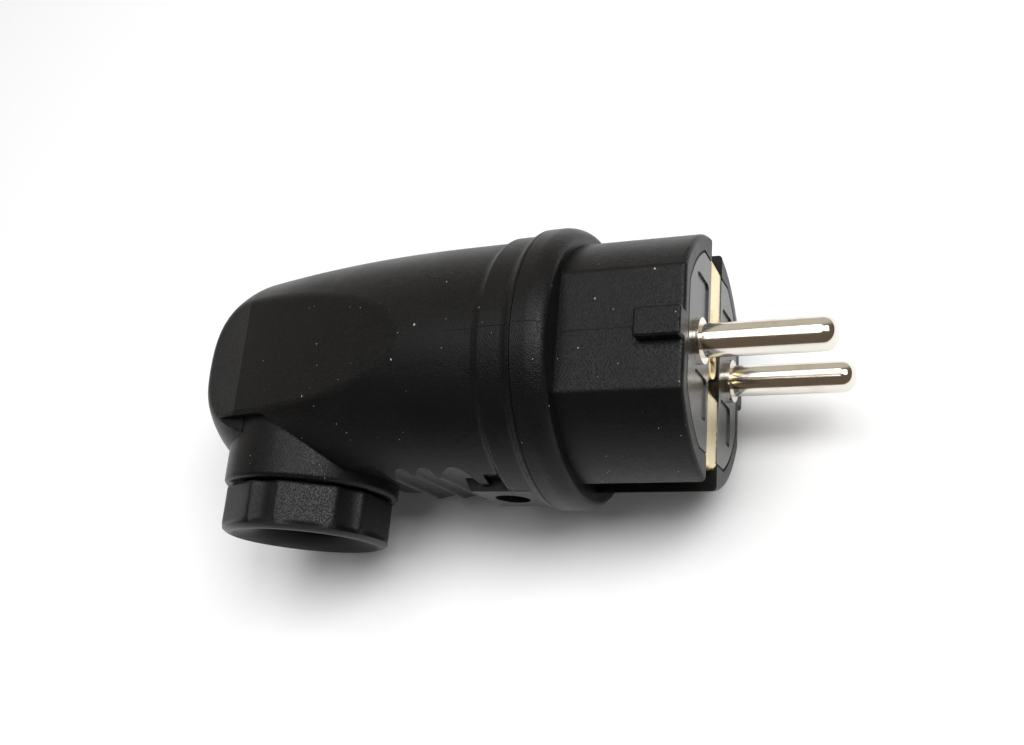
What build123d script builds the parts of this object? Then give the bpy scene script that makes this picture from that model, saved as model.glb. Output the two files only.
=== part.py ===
from build123d import *
import os
from math import radians, sin, sqrt

# An angled earthed plug for a round flexible cable. It has two rubber shells, a brass and
# thermoset insert and a cable gland at right angles to the pins. All sizes are in millimetres.
# X runs along the pins and is 0 on the engagement face. Depths are measured back from that face,
# and drops are measured from the pin axis plane towards the cable outlet.

# How the plug lies: on its side it rolls until the gland nut meets the table as well.
LIE_ROLL = 11.3

# Pins, to the standard for two round contacts
PIN_SPACING = 19.0
PIN_DIA = 4.8
PIN_LENGTH = 19.0
PIN_TIP_ROUND = 2.0
PIN_COLLAR_DIA = 6.6
PIN_COLLAR_PROUD = 0.8
PIN_COLLAR_DEEP = 1.2
PIN_SHANK_DIA = 4.0
PIN_SHANK_END_GAP = 0.1

# Front body: nose, bead and the spigot that the hood slides over
NOSE_DIA = 37.9
NOSE_DRAFT = 0.6
NOSE_LENGTH = 18.4
NOSE_EDGE_ROUND = 0.7
NOSE_FLAT_WIDTH = 33.5
FLAT_EDGE_ROUND = 1.2
BEAD_DIA = 44.0
BEAD_WALL_DIA = 40.8
BEAD_SHOULDER = 1.0
BEAD_CREST_START = 21.2
BEAD_CREST_RUN = 0.9
JOINT_DEPTH = 23.35
JOINT_GAP = 0.12
SPIGOT_DIA = 36.4
SPIGOT_BORE_DIA = 31.2
SPIGOT_LENGTH = 9.6
RING_BORE_DIA = 28.2
RING_WALL = 0.4
RIB_LENGTH = 6.7
RIB_WIDTH = 4.3
RIB_HEIGHT_DIA = 37.8
RIB_ROUND = 0.5
RIB_EDGE_ROUND = 0.4

# Insert that carries the pins
CARRIER_DIA = 33.0
CARRIER_WIDTH = 29.6
CARRIER_LENGTH = 14.0
CARRIER_EDGE_ROUND = 0.4
SEAT_GAP = 0.1

# Shallow panels on the face of the insert, above and below each pin
PANEL_DEPTH = 0.3
PANEL_INNER = 4.2
PANEL_OUTER = 10.4
PANEL_SIDE = 4.4
PANEL_WIDTH = 6.4
PANEL_ROUND = 0.8

# Earth strip and its channels
STRIP_WIDTH = 6.2
STRIP_THICKNESS = 1.0
STRIP_SPAN = 32.0
STRIP_LEG = 18.0
STRIP_RECESS = 0.15
STRIP_BEND = 0.7
STRIP_DIP = 1.3
STRIP_DIP_LENGTH = 8.0
STRIP_DIP_BEND = 0.6
STRIP_SIDE_GAP = 0.15
CENTRE_HEAD_DIA = 5.0
CENTRE_HEAD_HEIGHT = 1.1
CENTRE_SHANK_DIA = 3.0
CROSS_SLOT_LENGTH = 3.0

# Wire terminals behind the carrier
TERMINAL_SIZE = 7.6
TERMINAL_START = 6.0
TERMINAL_END = 21.0
EARTH_TERMINAL_SIZE = 7.0
EARTH_TERMINAL_LENGTH = 10.0
TERMINAL_GAP = 0.1
TERMINAL_BORE_DEPTH = 4.7
WIRE_SLOT_WIDTH = 3.8
WIRE_SLOT_HEIGHT = 4.0
WIRE_SLOT_DEPTH = 4.4
TERMINAL_SCREW_DIA = 3.0
TERMINAL_SCREW_HEAD_DIA = 5.0
TERMINAL_SCREW_HEAD = 1.6
TERMINAL_SCREW_INSET = 2.2
CLAMP_THICKNESS = 0.8
CLAMP_LENGTH = 3.4
CLAMP_GAP = 0.1
SCREW_SLOT_WIDTH = 0.8
SCREW_SLOT_DEPTH = 0.6
THREAD_GAP = 0.02
HOLE_GAP = 0.05

# Carrier back, which traps the terminals and holds the nut of the housing screw
BACK_THICKNESS = 2.0
BACK_DIA = 27.8
FOOT_WIDTH = 11.0
FOOT_TOP_DROP = 9.5

# Housing screw in the boss under the hood
BOSS_DROP = 20.5
BOSS_WIDTH = 11.2
BOSS_START = 25.7
BOSS_END = 35.3
BOSS_SLOPE = 1.2
HOUSING_SCREW_DEPTH = 30.8
HOUSING_HOLE_DIA = 5.5
HOUSING_HEAD_DIA = 5.2
HOUSING_HEAD_HEIGHT = 2.2
HOUSING_HEAD_DROP = 17.2
HOUSING_SHANK_DIA = 3.0
HOUSING_SHANK_HOLE_DIA = 3.3
HOUSING_SHANK_TOP_DROP = 9.2
HOUSING_NUT_FLATS = 5.5
HOUSING_NUT_THICKNESS = 2.4
HOUSING_NUT_GAP = 0.1

# Rear hood
COLLAR_DIA = 42.4
COLLAR_START = 25.3
COLLAR_END = 28.7
COLLAR_BEAD_RUN = 1.2
COLLAR_EDGE_RUN = 0.5
HANDLE_DIA = 41.14
HANDLE_START = 30.2
TAPER_START = 38.0
TAPER_END = 75.0
TAPER_END_DIA = 35.9
HOOD_END = 85.7
TAIL_REACH = 4.8
TAIL_DROP = 4.75
TAIL_FLAT_DIA = 16.0
HOOD_WALL = 2.8
FACET_END_WIDTH = 30.1
FACET_SLOPE = 0.169
TAIL_SLOPE = 0.35
FACET_EDGE_ROUND = 3.0
BELLY_DROP = 19.6
HOOD_BORE_DIA = 36.8
HOOD_BORE_END = 33.3

# Finger grips: the crests between the grooves, and the drop of the groove bottoms
GRIP_CRESTS = (33.5, 39.6, 43.7, 47.5)
GRIP_BOTTOM_DROP = 17.8
GRIP_CREST_ROUND = 0.7
POCKET_START = 29.4
POCKET_END = 32.0
POCKET_DROP = 18.6

# Underside between the grips and the cable outlet
THROAT_DROP = 17.4
THROAT_START = 50.0
THROAT_END = 56.0
SHELF_DROP = 9.8
SHELF_START = 69.0
SHELF_END = 74.0
SHELF_TAIL_WIDTH = 26.8

# Cable outlet
OUTLET_DEPTH = 68.2
NECK_DIA = 29.0
NECK_DROP = 19.8
NECK_LIP_ROUND = 0.8
THREAD_DIA = 23.0
THREAD_END_DROP = 22.4
SOCKET_DIA = 19.6
SOCKET_DROP = 13.4
PASSAGE_DIA = 15.0

# Gland nut, seal and thrust washer
NUT_GAP = 0.3
NUT_EDGE_DIA = 28.0
NUT_FLAT_WIDTH = 26.4
NUT_FLATS = 6
NUT_FLATS_HEIGHT = 6.6
NUT_FIRST_FLAT = 57.6
NUT_SCALLOP_ANGLE = 21.0
NUT_SCALLOP_DEPTH = 1.0
NUT_END_DROP = 27.7
NUT_RING_DIA = 27.4
NUT_RIM_DIA = 25.4
NUT_RIM_BEVEL = 0.7
NUT_BORE_DIA = 23.4
NUT_WEB_DROP = 22.6
NUT_MOUTH_DIA = 24.3
NUT_MOUTH_RUN = 3.2
NUT_MOUTH_RISE = 0.5
NUT_THROAT_DIA = 13.0
NUT_THROAT_LENGTH = 0.8
SEAL_DIA = 19.2
SEAL_BORE_DIA = 10.0
SEAL_LENGTH = 7.6
SEAL_CHAMFER = 0.6
WASHER_THICKNESS = 1.3
WASHER_BORE_DIA = 13.0
GLAND_SEAT_GAP = 0.1

# Working planes. SIDE looks at the plug's side, ACROSS looks along the pins and
# OUTLET looks out of the cable outlet, with its centre on the outlet's axis.
SIDE = Plane.XY.rotated((LIE_ROLL, 0, 0))
ACROSS = Plane.YZ.rotated((LIE_ROLL, 0, 0))
UNDER = Plane.XZ.rotated((LIE_ROLL, 0, 0))
OUTLET = Plane(origin=(-OUTLET_DEPTH, 0, 0), x_dir=(1, 0, 0), z_dir=UNDER.z_dir)
OUTLET_AXIS = Axis(OUTLET.origin, OUTLET.z_dir)
SIDE_AXIS = Axis(SIDE.origin, SIDE.z_dir)
ALL_THROUGH = 60.0


def across(depth):
    """Plane square to the pins, the given depth behind the engagement face."""
    return ACROSS.offset(-depth)


def carrier_outline(gap):
    """Face of the insert: a circle cut to a square, grown all round by the gap."""
    with BuildSketch(ACROSS) as outline:
        Circle(CARRIER_DIA / 2 + gap)
        Rectangle(CARRIER_WIDTH + 2 * gap, CARRIER_WIDTH + 2 * gap, mode=Mode.INTERSECT)
    return outline.sketch


# Front body: the nose with its two flats, drafted so that it widens towards the bead
nose_back = NOSE_LENGTH + NOSE_EDGE_ROUND
with BuildPart() as nose:
    with BuildSketch(ACROSS) as nose_section:
        Circle(NOSE_DIA / 2)
        Rectangle(2 * NOSE_DIA, NOSE_FLAT_WIDTH, mode=Mode.INTERSECT)
        fillet(nose_section.vertices(), radius=FLAT_EDGE_ROUND)
    extrude(amount=-nose_back, taper=-NOSE_DRAFT)
    fillet(nose.edges().group_by(Axis.X)[-1], radius=NOSE_EDGE_ROUND)

# Front body: bead, spigot, ribs on the flats, earth channels and the bore for the insert
spigot_end = JOINT_DEPTH + SPIGOT_LENGTH
ring_end = JOINT_DEPTH - RING_WALL
groove_width = STRIP_WIDTH + 2 * STRIP_SIDE_GAP
strip_back = STRIP_RECESS + STRIP_THICKNESS
with BuildPart() as front_body:
    add(nose.part)
    with BuildSketch(SIDE) as bead_profile:
        with BuildLine():
            Polyline(
                (-BEAD_CREST_START, BEAD_DIA / 2),
                (-JOINT_DEPTH, BEAD_DIA / 2),
                (-JOINT_DEPTH, SPIGOT_DIA / 2),
                (-spigot_end, SPIGOT_DIA / 2),
                (-spigot_end, 0),
                (-NOSE_LENGTH, 0),
                (-NOSE_LENGTH, BEAD_WALL_DIA / 2),
            )
            Bezier(
                (-NOSE_LENGTH, BEAD_WALL_DIA / 2),
                (-NOSE_LENGTH, BEAD_WALL_DIA / 2 + BEAD_SHOULDER),
                (-BEAD_CREST_START + BEAD_CREST_RUN, BEAD_DIA / 2),
                (-BEAD_CREST_START, BEAD_DIA / 2),
            )
        make_face()
    revolve(axis=Axis.X)
    for side in (1, -1):
        with BuildSketch(SIDE.offset(side * NOSE_FLAT_WIDTH / 4)):
            with Locations((-RIB_LENGTH / 2, 0)):
                RectangleRounded(RIB_LENGTH, RIB_WIDTH, RIB_ROUND)
        rib = extrude(amount=side * (RIB_HEIGHT_DIA / 2 - NOSE_FLAT_WIDTH / 4), mode=Mode.PRIVATE)
        add(rib.fillet(RIB_EDGE_ROUND, rib.edges().group_by(SIDE_AXIS)[-1 if side > 0 else 0]))
    extrude(carrier_outline(SEAT_GAP), amount=-(CARRIER_LENGTH + SEAT_GAP), mode=Mode.SUBTRACT)
    with BuildSketch(ACROSS):
        Circle(RING_BORE_DIA / 2)
        with Locations((0, PIN_SPACING / 2), (0, -PIN_SPACING / 2)):
            Rectangle(TERMINAL_SIZE + 2 * TERMINAL_GAP, TERMINAL_SIZE + 2 * TERMINAL_GAP)
    extrude(amount=-ring_end, mode=Mode.SUBTRACT)
    with BuildSketch(across(ring_end)):
        Circle(SPIGOT_BORE_DIA / 2)
    extrude(amount=ring_end - spigot_end, mode=Mode.SUBTRACT)
    channel_floor = STRIP_SPAN / 2 - STRIP_THICKNESS - STRIP_SIDE_GAP
    with BuildSketch(ACROSS):
        for end in (1, -1):
            with Locations((end * (channel_floor + NOSE_DIA) / 2, 0)):
                Rectangle(NOSE_DIA - channel_floor, groove_width)
    extrude(amount=-NOSE_LENGTH, mode=Mode.SUBTRACT)
    # The strip crosses the rim on its way into both channels
    with BuildSketch(ACROSS):
        Rectangle(2 * NOSE_DIA, groove_width)
    extrude(amount=-(strip_back + STRIP_BEND), mode=Mode.SUBTRACT)
    with BuildSketch(UNDER.offset(HOUSING_HEAD_DROP)):
        with Locations((-HOUSING_SCREW_DEPTH, 0)):
            Circle(HOUSING_HOLE_DIA / 2)
    extrude(amount=ALL_THROUGH, mode=Mode.SUBTRACT)
    with BuildSketch(UNDER):
        with Locations((-HOUSING_SCREW_DEPTH, 0)):
            Circle(HOUSING_SHANK_HOLE_DIA / 2)
    extrude(amount=HOUSING_HEAD_DROP, mode=Mode.SUBTRACT)


def hood_profile(inset, front):
    """Half profile of the hood's round form, drawn in from its skin by the inset."""
    handle_r = HANDLE_DIA / 2 - inset
    taper_end_r = TAPER_END_DIA / 2 - inset
    taper_end_slope = (HANDLE_DIA - TAPER_END_DIA) / (TAPER_END - TAPER_START)
    tail_end = HOOD_END - inset
    with BuildSketch(SIDE) as profile:
        with BuildLine():
            Line((-front, handle_r), (-TAPER_START, handle_r))
            TangentArc((-TAPER_START, handle_r), (-TAPER_END, taper_end_r), tangent=(-1, 0))
            Bezier(
                (-TAPER_END, taper_end_r),
                (-TAPER_END - TAIL_REACH, taper_end_r - TAIL_REACH * taper_end_slope),
                (-tail_end, taper_end_r - TAIL_DROP),
                (-tail_end, TAIL_FLAT_DIA / 2 - inset),
            )
            Polyline(
                (-tail_end, TAIL_FLAT_DIA / 2 - inset),
                (-tail_end, 0),
                (-front, 0),
                (-front, handle_r),
            )
        make_face()
    return profile.sketch


def hood_side_profile(inset):
    """Seen from under: the sloping facets and steeper tail planes, drawn in by the inset."""
    facet_inset = inset * sqrt(1 + FACET_SLOPE**2)
    tail_inset = inset * sqrt(1 + TAIL_SLOPE**2)
    end_half = FACET_END_WIDTH / 2 - facet_inset
    front_half = end_half + FACET_SLOPE * TAPER_END
    # The two slopes meet where both insets agree
    meet = TAPER_END + (facet_inset - tail_inset) / (TAIL_SLOPE - FACET_SLOPE)
    meet_half = end_half - FACET_SLOPE * (meet - TAPER_END)
    back_half = meet_half - TAIL_SLOPE * (HOOD_END - meet)
    with BuildSketch(UNDER) as profile:
        Polygon(
            (0, front_half),
            (-meet, meet_half),
            (-HOOD_END, back_half),
            (-HOOD_END, -back_half),
            (-meet, -meet_half),
            (0, -front_half),
            align=None,
        )
    return profile.sketch


def underside_cut(lift):
    """Seen from the side: what is cut away below the hood, raised by the lift."""
    with BuildSketch(SIDE) as profile:
        Polygon(
            (-BOSS_START, -BELLY_DROP + lift),
            (-GRIP_CRESTS[-1], -BELLY_DROP + lift),
            (-THROAT_START, -THROAT_DROP + lift),
            (-THROAT_END, -THROAT_DROP + lift),
            (-SHELF_START, -SHELF_DROP + lift),
            (-SHELF_END, -SHELF_DROP + lift),
            (-SHELF_END, -ALL_THROUGH),
            (-BOSS_START, -ALL_THROUGH),
            align=None,
        )
    return profile.sketch


def finger_grips():
    """Seen from the side: the grooves between the crests, each an arc down to one depth."""
    with BuildSketch(SIDE) as profile:
        add(SIDE.to_local_coords(underside_cut(0)))
        depth = BELLY_DROP - GRIP_BOTTOM_DROP
        for front, rear in zip(GRIP_CRESTS, GRIP_CRESTS[1:]):
            groove_r = ((rear - front) ** 2 / 4 + depth**2) / (2 * depth)
            with Locations((-(front + rear) / 2, -GRIP_BOTTOM_DROP - groove_r)):
                Circle(groove_r)
        crests = profile.vertices().filter_by_position(Axis.Y, -BELLY_DROP - 0.1, -BELLY_DROP + 0.1)
        crests = crests.filter_by_position(Axis.X, -GRIP_CRESTS[-1] - 0.1, -GRIP_CRESTS[0] + 0.1)
        fillet(crests, radius=GRIP_CREST_ROUND)
    return profile.sketch


# Hood cavity: the same form drawn in by the wall, used only to hollow the hood
with BuildPart() as hood_cavity:
    revolve(hood_profile(HOOD_WALL, HOOD_BORE_END), axis=Axis.X)
    extrude(hood_side_profile(HOOD_WALL), amount=ALL_THROUGH, both=True, mode=Mode.INTERSECT)
    extrude(underside_cut(HOOD_WALL), amount=ALL_THROUGH, both=True, mode=Mode.SUBTRACT)

# Outside form of the hood, with the curved rims of its facets rounded off
with BuildPart() as hood_form:
    revolve(hood_profile(0, HANDLE_START), axis=Axis.X)
    extrude(hood_side_profile(0), amount=ALL_THROUGH, both=True, mode=Mode.INTERSECT)
    facet_rims = hood_form.edges().filter_by(GeomType.BSPLINE)
    fillet(facet_rims, radius=FACET_EDGE_ROUND)

# Neck of the cable outlet, round about the outlet's axis
with BuildPart() as neck:
    with BuildSketch(OUTLET):
        Circle(NECK_DIA / 2)
    extrude(amount=NECK_DROP)
    fillet(neck.edges().group_by(OUTLET_AXIS)[-1], radius=NECK_LIP_ROUND)
    with BuildSketch(OUTLET.offset(NECK_DROP - NECK_LIP_ROUND)):
        Circle(THREAD_DIA / 2)
    extrude(amount=THREAD_END_DROP - NECK_DROP + NECK_LIP_ROUND)

# Rear hood
hood_front = JOINT_DEPTH + JOINT_GAP
with BuildPart() as rear_hood:
    add(hood_form.part)
    extrude(finger_grips(), amount=ALL_THROUGH, both=True, mode=Mode.SUBTRACT)
    # The shelf runs on to the tail on both sides, set back to the flanks of the neck
    for side in (1, -1):
        with BuildSketch(SIDE.offset(side * SHELF_TAIL_WIDTH / 2)):
            with Locations((-SHELF_END, -SHELF_DROP)):
                Rectangle(HOOD_END - SHELF_END, ALL_THROUGH, align=(Align.MAX, Align.MAX))
        extrude(amount=side * ALL_THROUGH, mode=Mode.SUBTRACT)
    # Bead half and collar in front of the handle
    with BuildSketch(SIDE):
        with BuildLine():
            Line((-hood_front, 0), (-hood_front, BEAD_DIA / 2))
            Bezier(
                (-hood_front, BEAD_DIA / 2),
                (-hood_front - COLLAR_BEAD_RUN, BEAD_DIA / 2),
                (-COLLAR_START + COLLAR_BEAD_RUN, COLLAR_DIA / 2),
                (-COLLAR_START, COLLAR_DIA / 2),
            )
            Line((-COLLAR_START, COLLAR_DIA / 2), (-COLLAR_END, COLLAR_DIA / 2))
            Bezier(
                (-COLLAR_END, COLLAR_DIA / 2),
                (-COLLAR_END - COLLAR_EDGE_RUN, COLLAR_DIA / 2),
                (-COLLAR_END - COLLAR_EDGE_RUN, HANDLE_DIA / 2),
                (-HANDLE_START, HANDLE_DIA / 2),
            )
            Polyline((-HANDLE_START, HANDLE_DIA / 2), (-HANDLE_START, 0), (-hood_front, 0))
        make_face()
    revolve(axis=Axis.X)
    # Screw boss: a pad with a sloping rear end, level underneath
    with BuildSketch(SIDE):
        Polygon(
            (-BOSS_START, -HOOD_BORE_DIA / 2),
            (-BOSS_START, -BOSS_DROP),
            (-BOSS_END, -BOSS_DROP),
            (-BOSS_END - BOSS_SLOPE, -HOOD_BORE_DIA / 2),
            align=None,
        )
    extrude(amount=BOSS_WIDTH / 2, both=True)
    with BuildSketch(UNDER.offset(BOSS_DROP)):
        with Locations((-(BOSS_START + BOSS_END) / 2, 0)):
            Rectangle(BOSS_END - BOSS_START, BOSS_WIDTH)
    extrude(amount=ALL_THROUGH, mode=Mode.SUBTRACT)
    # Small pockets on both sides of the boss
    for side in (1, -1):
        with BuildSketch(SIDE.offset(side * BOSS_WIDTH / 2)):
            with Locations((-(POCKET_START + POCKET_END) / 2, -POCKET_DROP)):
                Rectangle(POCKET_END - POCKET_START, ALL_THROUGH, align=(Align.CENTER, Align.MAX))
        extrude(amount=side * ALL_THROUGH, mode=Mode.SUBTRACT)
    add(neck.part)
    # Inside: cavity, bore for the spigot, way in for the wires, seal socket and screw hole
    add(hood_cavity.part, mode=Mode.SUBTRACT)
    with BuildSketch(ACROSS):
        Circle(HOOD_BORE_DIA / 2)
    extrude(amount=-HOOD_BORE_END, mode=Mode.SUBTRACT)
    with BuildSketch(OUTLET):
        Circle(PASSAGE_DIA / 2)
    extrude(amount=SOCKET_DROP, mode=Mode.SUBTRACT)
    with BuildSketch(OUTLET.offset(SOCKET_DROP)):
        Circle(SOCKET_DIA / 2)
    extrude(amount=ALL_THROUGH, mode=Mode.SUBTRACT)
    with BuildSketch(UNDER):
        with Locations((-HOUSING_SCREW_DEPTH, 0)):
            Circle(HOUSING_HOLE_DIA / 2)
    extrude(amount=ALL_THROUGH, mode=Mode.SUBTRACT)

# Gland nut: six flats with scallops between them, a round rim and a flared mouth for the cable
nut_top = NECK_DROP + NUT_GAP
nut_flats_end = nut_top + NUT_FLATS_HEIGHT
nut_edge_r = NUT_EDGE_DIA / 2
scallop_half = nut_edge_r * sin(radians(NUT_SCALLOP_ANGLE / 2))
scallop_r = (scallop_half**2 + NUT_SCALLOP_DEPTH**2) / (2 * NUT_SCALLOP_DEPTH)
with BuildPart() as gland_nut:
    with BuildSketch(OUTLET.offset(nut_top)):
        Circle(nut_edge_r)
        with PolarLocations(NUT_FLAT_WIDTH / 2, NUT_FLATS, start_angle=NUT_FIRST_FLAT):
            Rectangle(NUT_EDGE_DIA, NUT_EDGE_DIA, align=(Align.MIN, Align.CENTER), mode=Mode.SUBTRACT)
        scallop_turn = NUT_FIRST_FLAT + 180 / NUT_FLATS
        with PolarLocations(nut_edge_r + scallop_r - NUT_SCALLOP_DEPTH, NUT_FLATS, start_angle=scallop_turn):
            Circle(scallop_r, mode=Mode.SUBTRACT)
    extrude(amount=NUT_FLATS_HEIGHT)
    with BuildSketch(OUTLET.offset(nut_flats_end)):
        Circle(NUT_RING_DIA / 2)
    extrude(amount=NUT_END_DROP - nut_flats_end)
    chamfer(
        gland_nut.edges().group_by(OUTLET_AXIS)[-1],
        length=NUT_RIM_BEVEL,
        length2=(NUT_RING_DIA - NUT_RIM_DIA) / 2,
    )
    # Female bore for the neck's thread, and the mouth that flares out like a trumpet
    with BuildSketch(OUTLET.offset(nut_top)):
        Circle(NUT_BORE_DIA / 2)
    extrude(amount=NUT_WEB_DROP - nut_top, mode=Mode.SUBTRACT)
    with BuildSketch(OUTLET):
        Circle(NUT_THROAT_DIA / 2)
    extrude(amount=ALL_THROUGH, mode=Mode.SUBTRACT)
    throat_x = NUT_THROAT_DIA / 2 - OUTLET_DEPTH
    mouth_x = NUT_MOUTH_DIA / 2 - OUTLET_DEPTH
    flare_start = NUT_WEB_DROP + NUT_THROAT_LENGTH
    flare_turn = (flare_start + NUT_END_DROP) / 2
    with BuildSketch(SIDE):
        with BuildLine():
            Bezier(
                (throat_x, -flare_start),
                (throat_x, -flare_turn),
                (mouth_x - NUT_MOUTH_RUN, -NUT_END_DROP + NUT_MOUTH_RISE),
                (mouth_x, -NUT_END_DROP),
            )
            Polyline(
                (mouth_x, -NUT_END_DROP),
                (-OUTLET_DEPTH, -NUT_END_DROP),
                (-OUTLET_DEPTH, -flare_start),
                (throat_x, -flare_start),
            )
        make_face()
    revolve(axis=OUTLET_AXIS, mode=Mode.SUBTRACT)

# Gland seal: a rubber sleeve that grips the cable
seal_start = SOCKET_DROP + GLAND_SEAT_GAP
seal_end = seal_start + SEAL_LENGTH
with BuildPart() as gland_seal:
    with BuildSketch(OUTLET.offset(seal_start)):
        Circle(SEAL_DIA / 2)
        Circle(SEAL_BORE_DIA / 2, mode=Mode.SUBTRACT)
    extrude(amount=SEAL_LENGTH)
    chamfer(gland_seal.edges().group_by(OUTLET_AXIS)[0].sort_by(SortBy.LENGTH)[-1], length=SEAL_CHAMFER)

# Thrust washer between the seal and the nut
washer_start = NUT_WEB_DROP - GLAND_SEAT_GAP - WASHER_THICKNESS
with BuildPart() as gland_washer:
    with BuildSketch(OUTLET.offset(washer_start)):
        Circle(SEAL_DIA / 2)
        Circle(WASHER_BORE_DIA / 2, mode=Mode.SUBTRACT)
    extrude(amount=WASHER_THICKNESS)

# Pin carrier: groove for the strip, shallow face panels, pin holes and terminal pockets
dip_back = strip_back + STRIP_DIP
pin_places = [(0, PIN_SPACING / 2), (0, -PIN_SPACING / 2)]
with BuildPart() as pin_carrier:
    extrude(carrier_outline(0), amount=-CARRIER_LENGTH)
    fillet(pin_carrier.edges().group_by(Axis.X)[-1], radius=CARRIER_EDGE_ROUND)
    with BuildSketch(ACROSS):
        Rectangle(2 * CARRIER_DIA, groove_width)
    extrude(amount=-strip_back, mode=Mode.SUBTRACT)
    with BuildSketch(ACROSS):
        Rectangle(STRIP_DIP_LENGTH + 2 * STRIP_DIP + STRIP_THICKNESS, groove_width)
    extrude(amount=-dip_back, mode=Mode.SUBTRACT)
    with BuildSketch(ACROSS):
        panel_y = (PANEL_INNER + PANEL_OUTER) / 2
        panel_z = PANEL_SIDE + PANEL_WIDTH / 2
        with GridLocations(2 * panel_y, 2 * panel_z, 2, 2):
            RectangleRounded(PANEL_OUTER - PANEL_INNER, PANEL_WIDTH, PANEL_ROUND)
    extrude(amount=-PANEL_DEPTH, mode=Mode.SUBTRACT)
    with BuildSketch(ACROSS):
        with Locations(*pin_places):
            Circle(PIN_COLLAR_DIA / 2 + HOLE_GAP)
    extrude(amount=-PIN_COLLAR_DEEP, mode=Mode.SUBTRACT)
    with BuildSketch(ACROSS):
        with Locations(*pin_places):
            Circle(PIN_SHANK_DIA / 2 + HOLE_GAP)
        Circle(CENTRE_SHANK_DIA / 2 + HOLE_GAP)
    extrude(amount=-CARRIER_LENGTH, mode=Mode.SUBTRACT)
    with BuildSketch(across(TERMINAL_START)):
        with Locations(*pin_places):
            Rectangle(TERMINAL_SIZE + 2 * TERMINAL_GAP, TERMINAL_SIZE + 2 * TERMINAL_GAP)
    extrude(amount=-CARRIER_LENGTH, mode=Mode.SUBTRACT)

# Carrier back: a plate with windows for the terminals and a foot along the inside of the spigot
foot_end = spigot_end - SEAT_GAP
with BuildPart() as carrier_back:
    with BuildSketch(across(CARRIER_LENGTH)):
        Circle(BACK_DIA / 2)
        Rectangle(BACK_DIA, PIN_SPACING + TERMINAL_SIZE, mode=Mode.INTERSECT)
        with Locations(*pin_places):
            Rectangle(TERMINAL_SIZE + 2 * TERMINAL_GAP, TERMINAL_SIZE + 2 * TERMINAL_GAP, mode=Mode.SUBTRACT)
        earth_window = EARTH_TERMINAL_SIZE + 2 * TERMINAL_GAP
        Rectangle(earth_window, earth_window, mode=Mode.SUBTRACT)
    extrude(amount=-BACK_THICKNESS)
    foot_parts = (
        (CARRIER_LENGTH, ring_end + SEAT_GAP, BACK_DIA / 2),
        (ring_end + SEAT_GAP, foot_end, SPIGOT_BORE_DIA / 2 - SEAT_GAP),
    )
    for foot_front, foot_back, foot_r in foot_parts:
        with BuildSketch(across(foot_front)):
            with Locations((-FOOT_TOP_DROP, 0)):
                Rectangle(SPIGOT_BORE_DIA, FOOT_WIDTH, align=(Align.MAX, Align.CENTER))
            Circle(foot_r, mode=Mode.INTERSECT)
        extrude(amount=foot_front - foot_back)
    with BuildSketch(UNDER.offset(FOOT_TOP_DROP)):
        with Locations((-HOUSING_SCREW_DEPTH, 0)):
            RegularPolygon(HOUSING_NUT_FLATS / 2 + HOLE_GAP, 6, major_radius=False)
    extrude(amount=HOUSING_NUT_THICKNESS + HOUSING_NUT_GAP, mode=Mode.SUBTRACT)
    with BuildSketch(UNDER):
        with Locations((-HOUSING_SCREW_DEPTH, 0)):
            Circle(HOUSING_SHANK_HOLE_DIA / 2)
    extrude(amount=HOUSING_HEAD_DROP, mode=Mode.SUBTRACT)

# Earth strip: one bent band across the face, down into both channels, dished in the middle
strip_mid = STRIP_RECESS + STRIP_THICKNESS / 2
strip_mid_y = (STRIP_SPAN - STRIP_THICKNESS) / 2
dip_y = STRIP_DIP_LENGTH / 2
with BuildPart() as earth_strip:
    with BuildSketch(SIDE):
        with BuildLine():
            FilletPolyline(
                (-STRIP_LEG, strip_mid_y),
                (-strip_mid, strip_mid_y),
                (-strip_mid, dip_y + STRIP_DIP),
                (-strip_mid - STRIP_DIP, dip_y),
                (-strip_mid - STRIP_DIP, -dip_y),
                (-strip_mid, -dip_y - STRIP_DIP),
                (-strip_mid, -strip_mid_y),
                (-STRIP_LEG, -strip_mid_y),
                radius=[STRIP_BEND] + 4 * [STRIP_DIP_BEND] + [STRIP_BEND],
            )
        trace(line_width=STRIP_THICKNESS)
    extrude(amount=STRIP_WIDTH / 2, both=True)
    with BuildSketch(ACROSS):
        Circle(CENTRE_SHANK_DIA / 2 + HOLE_GAP)
    extrude(amount=-dip_back, mode=Mode.SUBTRACT)

# Centre screw: through strip and carrier into the earth terminal
head_seat = STRIP_RECESS + STRIP_DIP
with BuildPart() as centre_screw:
    with BuildSketch(across(head_seat)):
        Circle(CENTRE_HEAD_DIA / 2)
    extrude(amount=CENTRE_HEAD_HEIGHT)
    with BuildSketch(across(head_seat)):
        Circle(CENTRE_SHANK_DIA / 2)
    extrude(amount=head_seat - CARRIER_LENGTH - TERMINAL_BORE_DEPTH + PIN_SHANK_END_GAP)
    with BuildSketch(across(head_seat - CENTRE_HEAD_HEIGHT)):
        Rectangle(CROSS_SLOT_LENGTH, SCREW_SLOT_WIDTH)
        Rectangle(SCREW_SLOT_WIDTH, CROSS_SLOT_LENGTH)
    extrude(amount=-SCREW_SLOT_DEPTH, mode=Mode.SUBTRACT)


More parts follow.
